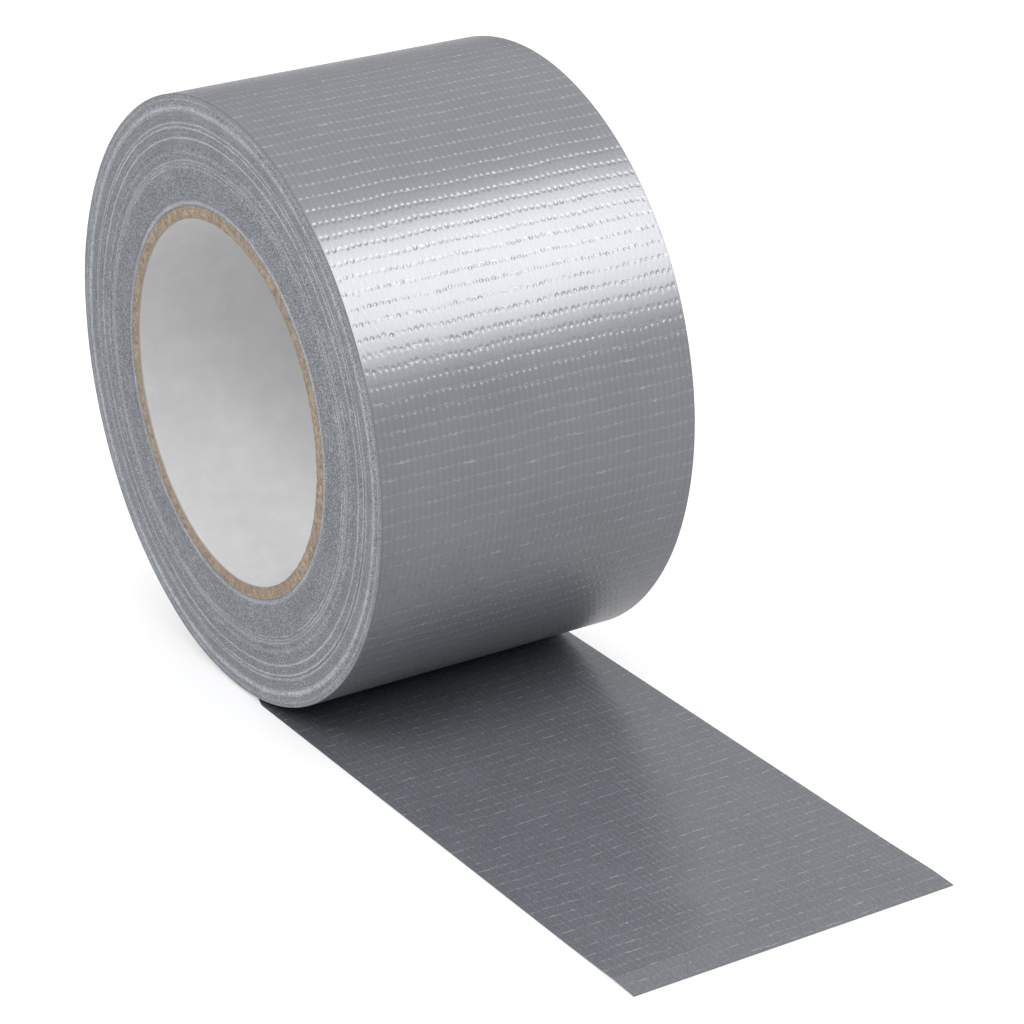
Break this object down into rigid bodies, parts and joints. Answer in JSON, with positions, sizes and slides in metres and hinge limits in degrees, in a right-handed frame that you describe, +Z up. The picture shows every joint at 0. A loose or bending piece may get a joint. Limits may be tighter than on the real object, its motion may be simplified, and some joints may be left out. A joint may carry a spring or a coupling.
{
  "type": "duct tape roll",
  "caption": "Roll of grey cloth-backed adhesive tape on a paper core, standing on its rim, with a free strip lying flat along the surface and able to lift.",
  "frame": {"origin": "centre of the core's bore, on the bore's axis and midway across the tape's width", "axes": "+Y along the bore's axis, away from the side whose core shows; +Z up; +X the way the free strip runs from the underside of the roll"},
  "size_m": [0.2119, 0.0722, 0.1272],
  "materials": {
    "core_liner": "matt white paper",
    "kraft_core": "matt kraft board, cut edge",
    "turn_edges": "cut edges of film, cloth and adhesive, matt with fine fibres",
    "backing_film": "satin silver-grey polyethylene, embossed by the cloth",
    "scrim_cloth": "thin open polyester and cotton cloth",
    "adhesive": "glossy grey pressure-sensitive adhesive"
  },
  "bodies": {
    "strip": {"strip_film": "backing_film", "strip_weft_yarns": "scrim_cloth", "strip_warp_yarns": "scrim_cloth", "strip_adhesive": "adhesive"},
    "roll": {"core_liner": "core_liner", "core_ply_1": "kraft_core", "core_ply_2": "kraft_core", "core_ply_3": "kraft_core", "core_ply_4": "kraft_core", "wound_turns_1": "turn_edges", "wound_turns_2": "turn_edges", "wound_turns_3": "turn_edges", "wound_turns_4": "turn_edges", "wound_turns_5": "turn_edges", "wound_turns_6": "turn_edges", "wound_turns_7": "turn_edges", "wound_turns_8": "turn_edges", "wound_turns_9": "turn_edges", "outer_turn_adhesive": "adhesive", "outer_turn_scrim": "scrim_cloth", "outer_turn_film": "backing_film"},
    "mid_strip": {"mid_strip_film": "backing_film", "mid_strip_weft_yarns": "scrim_cloth", "mid_strip_warp_yarns": "scrim_cloth", "mid_strip_adhesive": "adhesive"},
    "free_end": {"free_end_film": "backing_film", "free_end_weft_yarns": "scrim_cloth", "free_end_warp_yarns": "scrim_cloth", "free_end_adhesive": "adhesive"}
  },
  "joints": [
    {"name": "roll_spin", "type": "hinge", "parent": "strip", "child": "roll", "pos_m": [0, 0, 0], "axis": [0, 1, 0], "continuous": true},
    {"name": "strip_lift", "type": "hinge", "parent": "strip", "child": "mid_strip", "pos_m": [0.045, 0, -0.0636], "axis": [0, -1, 0], "range_deg": [0, 45]},
    {"name": "end_lift", "type": "hinge", "parent": "mid_strip", "child": "free_end", "pos_m": [0.1, 0, -0.0636], "axis": [0, -1, 0], "range_deg": [0, 60]}
  ]
}
